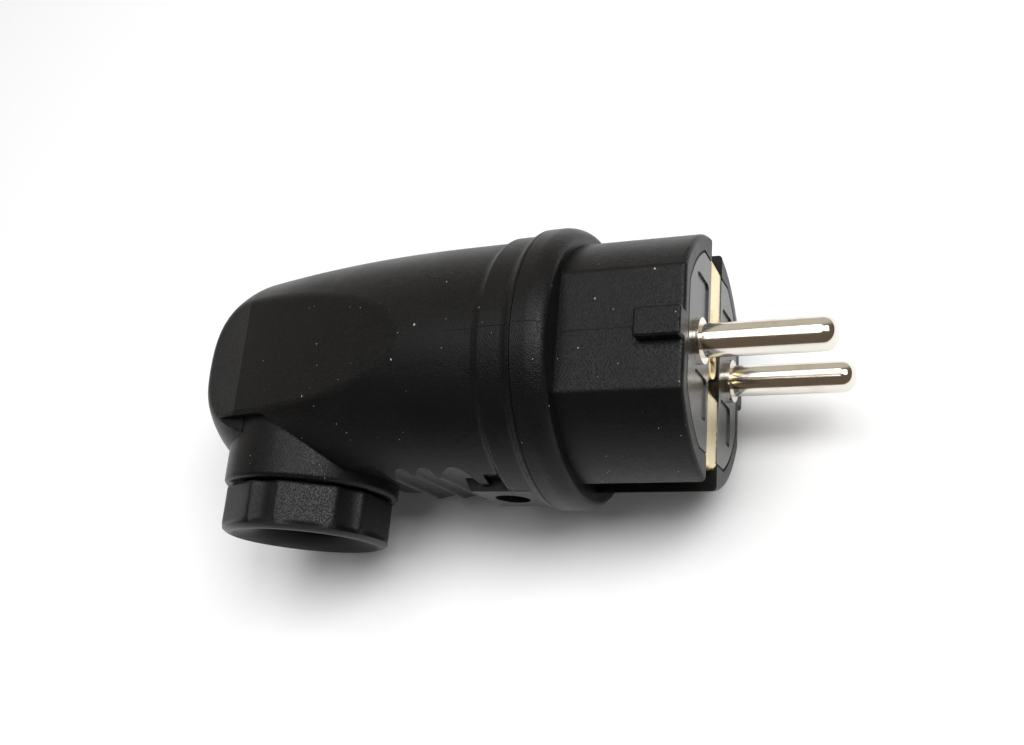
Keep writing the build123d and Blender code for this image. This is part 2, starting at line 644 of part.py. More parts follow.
def terminal_block(place, start, end, size, bore_r):
    """Square block: bore at the front, wire slot at the rear, tapped hole from above."""
    screw_depth = end - TERMINAL_SCREW_INSET
    with BuildPart() as block:
        with BuildSketch(across(start)):
            with Locations((0, place)):
                Rectangle(size, size)
                Circle(bore_r, mode=Mode.SUBTRACT)
        extrude(amount=-TERMINAL_BORE_DEPTH)
        with BuildSketch(across(start + TERMINAL_BORE_DEPTH)):
            with Locations((0, place)):
                Rectangle(size, size)
        extrude(amount=start + TERMINAL_BORE_DEPTH - end)
        with BuildSketch(across(end)):
            with Locations((0, place)):
                Rectangle(WIRE_SLOT_HEIGHT, WIRE_SLOT_WIDTH)
        extrude(amount=WIRE_SLOT_DEPTH, mode=Mode.SUBTRACT)
        with BuildSketch(UNDER.offset(-size)):
            with Locations((-screw_depth, place)):
                Circle(TERMINAL_SCREW_DIA / 2 + THREAD_GAP)
        extrude(amount=size, mode=Mode.SUBTRACT)
    return block.part


def terminal_screw(place, end, size):
    """Slotted screw above the block; its tip bears on the clamp plate in the wire slot."""
    tip = WIRE_SLOT_HEIGHT / 2 - CLAMP_GAP
    head = size / 2 + CLAMP_GAP
    with BuildPart() as screw:
        with BuildSketch(UNDER.offset(-tip)):
            with Locations((TERMINAL_SCREW_INSET - end, place)):
                Circle(TERMINAL_SCREW_DIA / 2)
        extrude(amount=tip - head)
        with BuildSketch(UNDER.offset(-head)):
            with Locations((TERMINAL_SCREW_INSET - end, place)):
                Circle(TERMINAL_SCREW_HEAD_DIA / 2)
        extrude(amount=-TERMINAL_SCREW_HEAD)
        with BuildSketch(UNDER.offset(-head - TERMINAL_SCREW_HEAD)):
            with Locations((TERMINAL_SCREW_INSET - end, place)):
                Rectangle(2 * TERMINAL_SCREW_HEAD_DIA, SCREW_SLOT_WIDTH)
        extrude(amount=SCREW_SLOT_DEPTH, mode=Mode.SUBTRACT)
    return screw.part


def clamp_plate(place, end):
    """Small plate in the wire slot, under the tip of the terminal screw."""
    with BuildPart() as plate:
        with BuildSketch(UNDER.offset(CLAMP_GAP - WIRE_SLOT_HEIGHT / 2)):
            with Locations((TERMINAL_SCREW_INSET - end, place)):
                Rectangle(CLAMP_LENGTH, WIRE_SLOT_WIDTH - 2 * CLAMP_GAP)
        extrude(amount=CLAMP_THICKNESS)
    return plate.part


def contact_pin(place):
    """Round pin with a domed tip, a collar at its root and a shank into the terminal."""
    shank_end = TERMINAL_START + TERMINAL_BORE_DEPTH - PIN_SHANK_END_GAP
    with BuildPart() as pin:
        with BuildSketch(across(shank_end)):
            with Locations((0, place)):
                Circle(PIN_SHANK_DIA / 2)
        extrude(amount=shank_end)
        with BuildSketch(across(PIN_COLLAR_DEEP)):
            with Locations((0, place)):
                Circle(PIN_COLLAR_DIA / 2)
        extrude(amount=PIN_COLLAR_DEEP + PIN_COLLAR_PROUD)
        with BuildSketch(ACROSS):
            with Locations((0, place)):
                Circle(PIN_DIA / 2)
        extrude(amount=PIN_LENGTH)
        fillet(pin.edges().group_by(Axis.X)[-1], radius=PIN_TIP_ROUND)
    return pin.part


# Housing screw and its nut
with BuildPart() as housing_screw:
    with BuildSketch(UNDER.offset(HOUSING_HEAD_DROP)):
        with Locations((-HOUSING_SCREW_DEPTH, 0)):
            Circle(HOUSING_HEAD_DIA / 2)
    extrude(amount=HOUSING_HEAD_HEIGHT)
    with BuildSketch(UNDER.offset(HOUSING_SHANK_TOP_DROP)):
        with Locations((-HOUSING_SCREW_DEPTH, 0)):
            Circle(HOUSING_SHANK_DIA / 2)
    extrude(amount=HOUSING_HEAD_DROP - HOUSING_SHANK_TOP_DROP)
    with BuildSketch(UNDER.offset(HOUSING_HEAD_DROP + HOUSING_HEAD_HEIGHT)):
        with Locations((-HOUSING_SCREW_DEPTH, 0)):
            Rectangle(CROSS_SLOT_LENGTH, SCREW_SLOT_WIDTH)
            Rectangle(SCREW_SLOT_WIDTH, CROSS_SLOT_LENGTH)
    extrude(amount=-SCREW_SLOT_DEPTH, mode=Mode.SUBTRACT)

with BuildPart() as housing_nut:
    with BuildSketch(UNDER.offset(FOOT_TOP_DROP + HOUSING_NUT_GAP)):
        with Locations((-HOUSING_SCREW_DEPTH, 0)):
            RegularPolygon(HOUSING_NUT_FLATS / 2, 6, major_radius=False)
            Circle(HOUSING_SHANK_DIA / 2 + THREAD_GAP, mode=Mode.SUBTRACT)
    extrude(amount=HOUSING_NUT_THICKNESS)

# Every piece is written under its own name; the poles repeat on both sides of the strip
os.makedirs("parts", exist_ok=True)
earth_end = CARRIER_LENGTH + EARTH_TERMINAL_LENGTH
earth_bore_r = CENTRE_SHANK_DIA / 2 + THREAD_GAP
pole_bore_r = PIN_SHANK_DIA / 2 + HOLE_GAP
pieces = {
    "front_body": front_body.part,
    "rear_hood": rear_hood.part,
    "gland_nut": gland_nut.part,
    "gland_seal": gland_seal.part,
    "gland_washer": gland_washer.part,
    "pin_carrier": pin_carrier.part,
    "carrier_back": carrier_back.part,
    "earth_strip": earth_strip.part,
    "centre_screw": centre_screw.part,
    "housing_screw": housing_screw.part,
    "housing_nut": housing_nut.part,
    "earth_terminal": terminal_block(0, CARRIER_LENGTH, earth_end, EARTH_TERMINAL_SIZE, earth_bore_r),
    "earth_terminal_screw": terminal_screw(0, earth_end, EARTH_TERMINAL_SIZE),
    "earth_clamp_plate": clamp_plate(0, earth_end),
}
pole_block = (TERMINAL_START, TERMINAL_END, TERMINAL_SIZE, pole_bore_r)
for pole, place in (("left", PIN_SPACING / 2), ("right", -PIN_SPACING / 2)):
    pieces["pin_" + pole] = contact_pin(place)
    pieces["terminal_" + pole] = terminal_block(place, *pole_block)
    pieces["terminal_screw_" + pole] = terminal_screw(place, TERMINAL_END, TERMINAL_SIZE)
    pieces["clamp_plate_" + pole] = clamp_plate(place, TERMINAL_END)
for name, piece in pieces.items():
    piece.label = name
    export_step(piece, "parts/" + name + ".step")
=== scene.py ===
from math import radians

import bpy
import numpy as np
from mathutils import Matrix, Vector


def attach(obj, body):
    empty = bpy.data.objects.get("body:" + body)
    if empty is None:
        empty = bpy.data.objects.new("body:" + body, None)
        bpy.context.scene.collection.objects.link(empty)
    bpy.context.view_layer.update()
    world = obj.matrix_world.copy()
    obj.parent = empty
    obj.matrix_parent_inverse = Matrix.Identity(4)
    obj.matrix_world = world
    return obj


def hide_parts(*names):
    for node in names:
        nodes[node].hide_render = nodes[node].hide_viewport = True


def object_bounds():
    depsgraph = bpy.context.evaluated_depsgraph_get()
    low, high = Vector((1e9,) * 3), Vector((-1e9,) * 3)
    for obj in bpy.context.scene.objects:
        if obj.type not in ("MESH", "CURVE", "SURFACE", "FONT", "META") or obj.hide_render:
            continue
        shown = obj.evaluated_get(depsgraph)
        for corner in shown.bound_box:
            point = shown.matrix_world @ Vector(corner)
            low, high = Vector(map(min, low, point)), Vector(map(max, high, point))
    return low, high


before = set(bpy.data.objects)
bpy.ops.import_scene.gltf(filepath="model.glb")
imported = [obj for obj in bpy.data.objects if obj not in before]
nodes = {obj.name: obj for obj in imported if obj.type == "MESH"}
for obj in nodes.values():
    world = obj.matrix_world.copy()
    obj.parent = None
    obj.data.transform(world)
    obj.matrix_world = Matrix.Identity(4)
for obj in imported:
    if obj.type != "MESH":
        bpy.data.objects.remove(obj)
cad_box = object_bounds()

# Shells. The nose and the elbow hood are moulded in black rubber, in spark-eroded steel, so their
# skin has a fine pebbled grain. The hood slides over the back of the nose and one screw holds it.
# The plug lies rolled until the gland nut meets the table, which sets its own Y and Z askew.
MM = 0.001
LIE_ROLL = radians(11.3)
PLUG_TO_ROW = Matrix.Rotation(LIE_ROLL, 4, "X")
RUBBER_BLACK = (0.0045, 0.0045, 0.0047)
PEBBLE_TOP = 0.10
PEBBLE_FOOT = 0.55


def link_chain(material, chain):
    """Adds shader nodes in order and returns them.

    Each entry is (node type, {setting or socket: value}, {socket: (number, output)}), where the
    number is that of an earlier node in the chain.
    """
    made = []
    for kind, values, links in chain:
        node = material.node_tree.nodes.new(kind)
        for name, value in values.items():
            if isinstance(name, str) and hasattr(node, name):
                setattr(node, name, value)
            else:
                node.inputs[name].default_value = value
        for socket, (number, output) in links.items():
            material.node_tree.links.new(made[number].outputs[output], node.inputs[socket])
        made.append(node)
    return made


def finish_of(name, colour, roughness, metallic=0.0, gloss=0.5):
    """A new material with these values on its shader's own sockets; returns it and the shader."""
    material = bpy.data.materials.new(name)
    material.use_nodes = True
    shader = material.node_tree.nodes["Principled BSDF"]
    shader.inputs["Base Color"].default_value = (*colour, 1.0)
    shader.inputs["Roughness"].default_value = roughness
    shader.inputs["Metallic"].default_value = metallic
    shader.inputs["Specular IOR Level"].default_value = gloss
    return material, shader


def dress(part, material):
    """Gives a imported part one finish."""
    mesh = nodes[part].data
    mesh.materials.clear()
    mesh.materials.append(material)


def moulded_rubber(name, colour, pebble, relief, roughness, gloss):
    """Moulded skin of pebbles, in millimetres.

    Points lie scattered about one pebble apart. The height falls in a straight line with the
    distance from the nearest point, from PEBBLE_TOP to PEBBLE_FOOT of a pebble. Dullness rises
    and falls in slow clouds, and a faint bloom greys the colour in patches.
    """
    material, shader = finish_of(name, colour, roughness, gloss=gloss)
    pale = tuple(1.35 * part + 0.002 for part in colour)
    made = link_chain(material, [
        ("ShaderNodeTexCoord", {}, {}),
        ("ShaderNodeTexVoronoi", {"Scale": 1.0 / (pebble * MM)}, {"Vector": (0, "Object")}),
        ("ShaderNodeMapRange",
         {"From Min": PEBBLE_TOP, "From Max": PEBBLE_FOOT, "To Min": 1.0, "To Max": 0.0},
         {"Value": (1, "Distance")}),
        ("ShaderNodeBump", {"Strength": 1.0, "Distance": relief * MM}, {"Height": (2, "Result")}),
        ("ShaderNodeTexNoise", {"Scale": 90.0, "Detail": 4.0, "Roughness": 0.6},
         {"Vector": (0, "Object")}),
        ("ShaderNodeMapRange",
         {"From Min": 0.3, "From Max": 0.7, "To Min": roughness - 0.05, "To Max": roughness + 0.06},
         {"Value": (4, "Fac")}),
        ("ShaderNodeTexNoise", {"Scale": 35.0, "Detail": 5.0, "Roughness": 0.65},
         {"Vector": (0, "Object")}),
        ("ShaderNodeMapRange", {"From Min": 0.4, "From Max": 0.75}, {"Value": (6, "Fac")}),
        ("ShaderNodeMix", {"data_type": "RGBA"}, {"Factor": (7, "Result")}),
    ])
    made[8].inputs[6].default_value = (*colour, 1.0)
    made[8].inputs[7].default_value = (*pale, 1.0)
    links = material.node_tree.links
    links.new(made[3].outputs["Normal"], shader.inputs["Normal"])
    links.new(made[5].outputs["Result"], shader.inputs["Roughness"])
    links.new(made[8].outputs[2], shader.inputs["Base Color"])
    return material


shell_rubber = moulded_rubber("shell_rubber", RUBBER_BLACK, 0.23, 0.028, 0.34, 0.17)
dress("front_body", shell_rubber)
dress("rear_hood", shell_rubber)

# Parting lines. The two halves of each mould leave a fine raised line on both sides of the plug,
# level with the pins: along the nose, over the bead, along the handle's collar, and on the tail.
MOULD_LINE_WIDTH = 0.18
MOULD_LINE_HEIGHT = 0.035
SHARP_FROM = radians(40)
NOSE_FLAT_HEIGHT = 16.75
NOSE_FLAT_SLOPE = 0.01047
BEAD_R = 22.0
COLLAR_R = 21.2
HANDLE_R = 20.57
TAIL_FLAT_START = 75.0
TAIL_FLAT_HEIGHT = 15.05
TAIL_FLAT_SLOPE = 0.35


def skin(name, rows, material, ring=False):
    """A piece from a grid of points in the plug's axes and millimetres, closed around each row.

    Row by row the points are turned with the plug, scaled to metres and joined by quads. The
    last row joins the first in a ring, or both end rows get a cap. Faces point away from the inside.
    """
    count, around = rows.shape[:2]
    turn = np.array(PLUG_TO_ROW.to_3x3())
    points = rows.reshape(-1, 3) @ turn.T * MM
    first = np.arange(count if ring else count - 1)[:, None] * around
    step = np.arange(around)[None, :]
    after = (step + 1) % around
    below = (first + around) % (count * around)
    quads = np.stack([first + step, first + after, below + after, below + step], axis=-1)
    quads = quads.reshape(-1, 4)
    corners = points[quads]
    volume = np.einsum("ij,ij->", np.cross(corners[:, 0], corners[:, 1]), corners[:, 2])
    volume += np.einsum("ij,ij->", np.cross(corners[:, 0], corners[:, 2]), corners[:, 3])
    if volume < 0:
        quads = quads[:, ::-1]
    faces = quads.tolist()
    if not ring:
        start = list(range(around))
        end = list(range((count - 1) * around, count * around))
        faces += [start[::-1], end] if volume >= 0 else [start, end[::-1]]
    mesh = bpy.data.meshes.new(name)
    mesh.from_pydata(points.tolist(), [], faces)
    mesh.shade_smooth()
    mesh.set_sharp_from_angle(angle=SHARP_FROM)
    mesh.materials.append(material)
    piece = bpy.data.objects.new(name, mesh)
    bpy.context.scene.collection.objects.link(piece)
    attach(piece, "root")
    return piece


def mould_line(name, path, side):
    """A raised line along a path of (depth, height) on one side of the plug.

    The section is a low hump across the line with a flat foot under the skin, set square to
    the path, and it fades to almost nothing at both ends.
    """
    way = np.gradient(path, axis=0)
    way /= np.linalg.norm(way, axis=1)[:, None]
    across = MOULD_LINE_WIDTH * np.array([-0.5, -0.25, 0.0, 0.25, 0.5, 0.0])
    raised = MOULD_LINE_HEIGHT * np.array([-0.3, 0.7, 1.0, 0.7, -0.3, -0.6])
    fade = np.ones(len(path))
    fade[0] = fade[-1] = 0.1
    depth = path[:, 0, None] - way[:, 1, None] * raised * fade[:, None]
    height = path[:, 1, None] + way[:, 0, None] * raised * fade[:, None]
    level = np.broadcast_to(across, depth.shape) * fade[:, None]
    return skin(name, np.stack([-depth, level, side * height], axis=-1), shell_rubber)


def cubic(a, b, c, d, count=12):
    """Points of a cubic curve with these four control points, by Bernstein's weights."""
    t = np.linspace(0, 1, count)[:, None]
    a, b, c, d = (np.array(p, dtype=float) for p in (a, b, c, d))
    return (1 - t) ** 3 * a + 3 * (1 - t) ** 2 * t * b + 3 * (1 - t) * t**2 * c + t**3 * d


# Each path is given by depths from the engagement face and heights from the plug's axis
nose_depth = np.linspace(6.9, 18.2, 20)
nose_path = np.stack([nose_depth, NOSE_FLAT_HEIGHT + NOSE_FLAT_SLOPE * nose_depth], axis=1)
bead_path = np.concatenate([
    cubic((18.45, 20.4), (18.45, 21.4), (20.3, BEAD_R), (21.2, BEAD_R)),
    [(22.0, BEAD_R), (23.2, BEAD_R)],
])
handle_path = np.concatenate([
    cubic((23.6, BEAD_R), (24.7, BEAD_R), (24.1, COLLAR_R), (25.3, COLLAR_R)),
    [(27.0, COLLAR_R), (28.6, COLLAR_R)],
    cubic((28.7, COLLAR_R), (29.2, COLLAR_R), (29.2, HANDLE_R), (30.2, HANDLE_R)),
    [(32.0, HANDLE_R), (34.0, HANDLE_R), (36.0, HANDLE_R)],
])
tail_depth = np.linspace(75.3, 83.8, 12)
tail_height = TAIL_FLAT_HEIGHT - TAIL_FLAT_SLOPE * (tail_depth - TAIL_FLAT_START)
tail_path = np.stack([tail_depth, tail_height], axis=1)
for side, label in ((1, "left"), (-1, "right")):
    mould_line("nose_line_" + label, nose_path, side)
    mould_line("bead_line_" + label, bead_path, side)
    mould_line("handle_line_" + label, handle_path, side)
    mould_line("tail_line_" + label, tail_path, side)

# Gland nut. The same rubber, moulded with six flats, a scallop between each two, a round rim and
# a smooth flared mouth. It screws onto the neck and presses the washer onto the seal.
NUT_DEPTH = 68.2
NUT_COLUMNS = 432
NUT_FLAT_R = 13.2
NUT_CORNER_R = 14.0
NUT_FIRST_FLAT = 57.6
SCALLOP_HALF_ANGLE = radians(10.5)
SCALLOP_DEPTH = 1.0
NO_SCALLOP = 20.0
EDGE_SOFTNESS = 5.0
NUT_RING_R = 13.7
NUT_BORE_R = 11.7
NUT_THROAT_R = 6.5
NUT_WEB = 22.6
nut_rubber = moulded_rubber("nut_rubber", RUBBER_BLACK, 0.22, 0.032, 0.34, 0.19)
# The mouth is smooth and polished, and its colour is darker than the rest of the nut: this darker colour is
# painted shade inside the recess of the mouth.
nut_polish_and_shade = moulded_rubber("nut_polish_and_shade", (0.0030, 0.0029, 0.0028), 0.60, 0.002, 0.40, 0.05)


def nut_outline(turn):
    """Distance of the nut's side from its axis at each turn about it.

    The least of three forms, softly joined so that every edge is rounded: six flats, whose
    distance grows as 1/cos off their middle, the round of the corners, and six round scallops.
    """
    pitch = radians(60)
    floor = NUT_CORNER_R - SCALLOP_DEPTH
    chord = NUT_CORNER_R * np.sin(SCALLOP_HALF_ANGLE)
    scallop_r = (chord**2 + SCALLOP_DEPTH**2) / (2.0 * SCALLOP_DEPTH)
    centre = floor + scallop_r
    off_flat = (turn - radians(NUT_FIRST_FLAT) + pitch / 2) % pitch - pitch / 2
    off_corner = (turn - radians(NUT_FIRST_FLAT - 30) + pitch / 2) % pitch - pitch / 2
    flat = NUT_FLAT_R / np.cos(off_flat)
    inside = scallop_r**2 - (centre * np.sin(off_corner)) ** 2
    near_side = centre * np.cos(off_corner) - np.sqrt(np.maximum(inside, 0))
    scallop = np.where(inside > 0, near_side, NO_SCALLOP)
    forms = np.stack([flat, np.full_like(turn, NUT_CORNER_R), scallop])
    shares = np.exp(-EDGE_SOFTNESS * (forms - floor)).sum(axis=0)
    return -np.log(shares) / EDGE_SOFTNESS + floor


nut_turn = np.linspace(0, 2 * np.pi, NUT_COLUMNS, endpoint=False)
nut_side = nut_outline(nut_turn)
# Rows from the top edge down to the ring: share of the ring, shift outward, drop from the plug's axis
flat_rows = [(0.0, -0.55, 20.1), (0.0, -0.22, 20.16), (0.0, -0.05, 20.35), (0.0, 0.0, 20.65)]
flat_rows += [(0.0, 0.0, drop) for drop in np.linspace(21.2, 26.0, 9)]
flat_rows += [(0.10, 0.0, 26.3), (0.5, 0.0, 26.6), (0.9, 0.0, 26.85), (1.0, 0.0, 27.02)]
nut_rows = [
    (NUT_RING_R * share + (nut_side + shift) * (1 - share), drop) for share, shift, drop in flat_rows
]
rim = [(13.52, 27.19), (13.2, 27.41), (12.9, 27.58), (12.6, 27.68), (12.35, 27.7), (12.15, 27.69)]
# The mouth flares out like a trumpet, from the throat to the rim
mouth = cubic((12.13, 27.66), (8.95, 27.20), (NUT_THROAT_R, 25.55), (NUT_THROAT_R, 23.40), count=24)
throat = [(NUT_THROAT_R, 23.00), (NUT_THROAT_R, 22.62), (6.54, NUT_WEB)]
web_and_bore = [
    (9.0, NUT_WEB), (11.5, NUT_WEB), (NUT_BORE_R, 22.40), (NUT_BORE_R, 21.3), (NUT_BORE_R, 20.3),
    (NUT_BORE_R + 0.2, 20.12),
]
mouth_start = len(nut_rows) + len(rim) - 1
mouth_end = mouth_start + len(mouth) + len(throat)
nut_rows += [(np.full_like(nut_side, r), drop) for r, drop in (*rim, *mouth, *throat, *web_and_bore)]
nut_r = np.array([r for r, _ in nut_rows])
nut_drop = np.broadcast_to(np.array([[drop] for _, drop in nut_rows]), nut_r.shape)
nut_grid = np.stack(
    [nut_r * np.cos(nut_turn) - NUT_DEPTH, -nut_drop, nut_r * np.sin(nut_turn)], axis=-1
)
nut = skin("gland_nut_moulded", nut_grid, nut_rubber, ring=True)
nut.data.materials.append(nut_polish_and_shade)
# The faces of the mouth and throat get the smooth finish with the painted shade.
row_of_face = np.arange(len(nut.data.polygons)) // NUT_COLUMNS
in_mouth = (row_of_face >= mouth_start) & (row_of_face < mouth_end)
nut.data.polygons.foreach_set("material_index", in_mouth.astype(np.int32))
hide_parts("gland_nut")

# Dust. Pale flakes lie on the rubber of both shells, a few of them large enough to see. The large
# ones are dropped onto the upper side at a place (along the pins, across them) with their size,
# and the small ones are scattered over the open skin.
DUST_COUNT = 260
DUST_TRIES = 3
DUST_SIZES = (0.035, 0.085)
DROP_HEIGHT = 60.0
OFF_THE_SKIN = 0.05
DUST_PLACES = (
    (-39.6, 1.3, 0.22), (-43.1, -3.8, 0.17), (-36.0, 8.5, 0.12), (-13.0, 4.6, 0.15),
    (-15.0, -2.6, 0.15), (-4.5, 8.4, 0.15), (-60.0, -8.0, 0.13), (-58.5, 0.4, 0.12),
    (-29.0, 3.0, 0.12),
)
dust_grey, dust_shader = finish_of("dust_grey", (0.62, 0.60, 0.56), 0.9, gloss=0.1)
dust_nodes = link_chain(dust_grey, [
    ("ShaderNodeTexCoord", {}, {}),
    ("ShaderNodeTexNoise", {"Scale": 1500.0, "Detail": 2.0}, {"Vector": (0, "Object")}),
    ("ShaderNodeMapRange", {"From Min": 0.3, "From Max": 0.7}, {"Value": (1, "Fac")}),
    ("ShaderNodeMix",
     {"data_type": "RGBA", 6: (0.70, 0.69, 0.66, 1.0), 7: (0.42, 0.39, 0.34, 1.0)},
     {"Factor": (2, "Result")}),
])
dust_grey.node_tree.links.new(dust_nodes[3].outputs[2], dust_shader.inputs["Base Color"])
chance = np.random.default_rng(7)
up_side = PLUG_TO_ROW.to_3x3() @ Vector((0, 0, 1))
flakes = []
for along_pins, across_pins, size in DUST_PLACES:
    start = PLUG_TO_ROW @ (Vector((along_pins, across_pins, DROP_HEIGHT)) * MM)
    for part in ("rear_hood", "front_body"):
        hit, place, facing, _ = nodes[part].ray_cast(start, -up_side)
        if hit:
            flakes.append((*place, *facing, size))
            break
bpy.context.view_layer.update()
depsgraph = bpy.context.evaluated_depsgraph_get()
for part, share in (("rear_hood", 0.65), ("front_body", 0.35)):
    mesh = nodes[part].data
    mesh.calc_loop_triangles()
    ends = np.empty(len(mesh.vertices) * 3)
    mesh.vertices.foreach_get("co", ends)
    corners = np.empty(len(mesh.loop_triangles) * 3, dtype=np.int32)
    mesh.loop_triangles.foreach_get("vertices", corners)
    tri = ends.reshape(-1, 3)[corners.reshape(-1, 3)]
    normal = np.cross(tri[:, 1] - tri[:, 0], tri[:, 2] - tri[:, 0])
    area = np.linalg.norm(normal, axis=1)
    tries = int(share * DUST_COUNT * DUST_TRIES)
    picked = chance.choice(len(tri), size=tries, p=area / area.sum())
    mix = chance.dirichlet((1, 1, 1), size=len(picked))
    spots = (tri[picked] * mix[:, :, None]).sum(axis=1)
    facing = normal[picked] / area[picked][:, None]
    kept = 0
    for spot, way in zip(spots, facing):
        above = Vector(spot + way * OFF_THE_SKIN * MM)
        covered = bpy.context.scene.ray_cast(depsgraph, above, Vector(way))[0]
        if not covered and kept < share * DUST_COUNT:
            flakes.append((*spot, *way, chance.uniform(*DUST_SIZES)))
            kept += 1
flakes = np.array(flakes)
place, facing, size = flakes[:, :3], flakes[:, 3:6], flakes[:, 6] * MM
above_low = (place - size[:, None] > cad_box[0]).all(axis=1)
inside = above_low & (place + size[:, None] < cad_box[1]).all(axis=1)
place, facing, size = place[inside], facing[inside], size[inside]
helper = np.where(np.abs(facing[:, :1]) > 0.8, [[0.0, 1.0, 0.0]], [[1.0, 0.0, 0.0]])
along = np.cross(facing, helper)
along /= np.linalg.norm(along, axis=1)[:, None]
over = np.cross(facing, along)
# A flake is a hexagon of uneven corners on the skin, drawn up and down to a point in its middle
turn = np.arange(6) * np.pi / 3
reach = size[:, None] * chance.uniform(0.6, 1.3, size=(len(size), 6))
edge = place[:, None] + (reach * np.cos(turn))[:, :, None] * along[:, None]
edge = edge + (0.8 * reach * np.sin(turn))[:, :, None] * over[:, None]
tops = place + facing * size[:, None] * 0.45
feet = place - facing * size[:, None] * 0.30
dust_points = np.concatenate([edge, tops[:, None], feet[:, None]], axis=1).reshape(-1, 3)
pattern = np.array([(k, (k + 1) % 6, 6) for k in range(6)] + [((k + 1) % 6, k, 7) for k in range(6)])
dust_faces = (np.arange(len(size))[:, None, None] * 8 + pattern).reshape(-1, 3)
dust_mesh = bpy.data.meshes.new("dust_flakes")
dust_mesh.from_pydata(dust_points.tolist(), [], dust_faces.tolist())
dust_mesh.materials.append(dust_grey)
dust = bpy.data.objects.new("dust_flakes", dust_mesh)
bpy.context.scene.collection.objects.link(dust)
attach(dust, "root")

# Seal and thrust washer. A soft matt rubber sleeve and a plain nylon ring, both loose in the
# neck of the hood, where the gland nut presses them together.
seal_rubber = moulded_rubber("seal_rubber", (0.010, 0.010, 0.010), 0.30, 0.008, 0.60, 0.30)
dress("gland_seal", seal_rubber)
washer_nylon = moulded_rubber("washer_nylon", (0.020, 0.020, 0.020), 0.50, 0.004, 0.45, 0.40)
dress("gland_washer", washer_nylon)

# Insert. Black thermoset with a satin face and a fine ripple, set into the nose; the carrier
# behind it is the same. The insert is duller in a line along its outline, which is a circle cut
# by a square: both distances are taken from the middle, in the plug's own axes.
INSERT_R = 16.5
INSERT_HALF = 14.8
JOINT_LINE = 0.28
JOINT_BLUR = 0.08
INSERT_DULLNESS = 0.26
insert_thermoset = moulded_rubber(
    "insert_thermoset", (0.010, 0.010, 0.0095), 0.45, 0.004, INSERT_DULLNESS, 0.75
)
dress("carrier_back", insert_thermoset)
insert_with_joint = insert_thermoset.copy()
insert_with_joint.name = "insert_with_joint"
joint_nodes = link_chain(insert_with_joint, [
    ("ShaderNodeTexCoord", {}, {}),
    ("ShaderNodeVectorRotate", {"rotation_type": "X_AXIS", "Angle": -LIE_ROLL},
     {"Vector": (0, "Object")}),
    ("ShaderNodeVectorMath", {"operation": "MULTIPLY", 1: (0.0, 1.0 / MM, 1.0 / MM)},
     {0: (1, "Vector")}),
    ("ShaderNodeVectorMath", {"operation": "ABSOLUTE"}, {0: (2, "Vector")}),
    ("ShaderNodeVectorMath", {"operation": "LENGTH"}, {0: (3, "Vector")}),
    ("ShaderNodeSeparateXYZ", {}, {"Vector": (3, "Vector")}),
    ("ShaderNodeMath", {"operation": "MAXIMUM"}, {0: (5, "Y"), 1: (5, "Z")}),
    ("ShaderNodeMapRange",
     {"From Min": INSERT_R - JOINT_LINE - JOINT_BLUR, "From Max": INSERT_R - JOINT_LINE + JOINT_BLUR},
     {"Value": (4, "Value")}),
    ("ShaderNodeMapRange",
     {"From Min": INSERT_HALF - JOINT_LINE - JOINT_BLUR, "From Max": INSERT_HALF - JOINT_LINE + JOINT_BLUR},
     {"Value": (6, "Value")}),
    ("ShaderNodeMath", {"operation": "MAXIMUM"}, {0: (7, "Result"), 1: (8, "Result")}),
    ("ShaderNodeMapRange", {"From Min": 0.0, "From Max": 1.0, "To Min": INSERT_DULLNESS, "To Max": 1.0},
     {"Value": (9, "Value")}),
])
insert_shader = insert_with_joint.node_tree.nodes["Principled BSDF"]
insert_with_joint.node_tree.links.new(joint_nodes[10].outputs["Result"], insert_shader.inputs["Roughness"])
dress("pin_carrier", insert_with_joint)

# Pins. Turned brass with a bright nickel plating, warm in tone, with turning lines round them.
# Each passes through the insert into its terminal.
LINE_RELIEF = 0.0015


def worked_metal(name, colour, stain, roughness, drawn):
    """Bare metal.

    Height is noise squeezed along one axis by the three factors in drawn, which makes fine lines.
    A coarser noise raises the dullness by up to 0.10, and its upper half mixes in the stain.
    """
    material, shader = finish_of(name, colour, roughness, metallic=1.0)
    made = link_chain(material, [
        ("ShaderNodeTexCoord", {}, {}),
        ("ShaderNodeMapping", {"Scale": drawn}, {"Vector": (0, "Object")}),
        ("ShaderNodeTexNoise", {"Scale": 900.0, "Detail": 3.0, "Roughness": 0.6},
         {"Vector": (1, "Vector")}),
        ("ShaderNodeBump", {"Strength": 1.0, "Distance": LINE_RELIEF * MM}, {"Height": (2, "Fac")}),
        ("ShaderNodeTexNoise", {"Scale": 260.0, "Detail": 3.0, "Roughness": 0.5},
         {"Vector": (0, "Object")}),
        ("ShaderNodeMapRange",
         {"From Min": 0.35, "From Max": 0.7, "To Min": roughness, "To Max": roughness + 0.10},
         {"Value": (4, "Fac")}),
        ("ShaderNodeMapRange", {"From Min": 0.5, "From Max": 0.8}, {"Value": (4, "Fac")}),
        ("ShaderNodeMix", {"data_type": "RGBA"}, {"Factor": (6, "Result")}),
    ])
    made[7].inputs[6].default_value = (*colour, 1.0)
    made[7].inputs[7].default_value = (*stain, 1.0)
    links = material.node_tree.links
    links.new(made[3].outputs["Normal"], shader.inputs["Normal"])
    links.new(made[5].outputs["Result"], shader.inputs["Roughness"])
    links.new(made[7].outputs[2], shader.inputs["Base Color"])
    return material


LINES_ROUND = (6.0, 1.0, 1.0)
pin_nickel = worked_metal("pin_nickel", (0.80, 0.76, 0.69), (0.70, 0.62, 0.50), 0.10, LINES_ROUND)
for part in ("pin_left", "pin_right"):
    dress(part, pin_nickel)

# Earth strip. Stamped from pale brass sheet, laid across the insert's face and bent back into
# both channels of the nose, with the rolling lines of the sheet running across it.
LINES_ACROSS = (1.0, 6.0, 1.0)
strip_brass = worked_metal("strip_brass", (0.86, 0.74, 0.44), (0.74, 0.56, 0.26), 0.22, LINES_ACROSS)
dress("earth_strip", strip_brass)

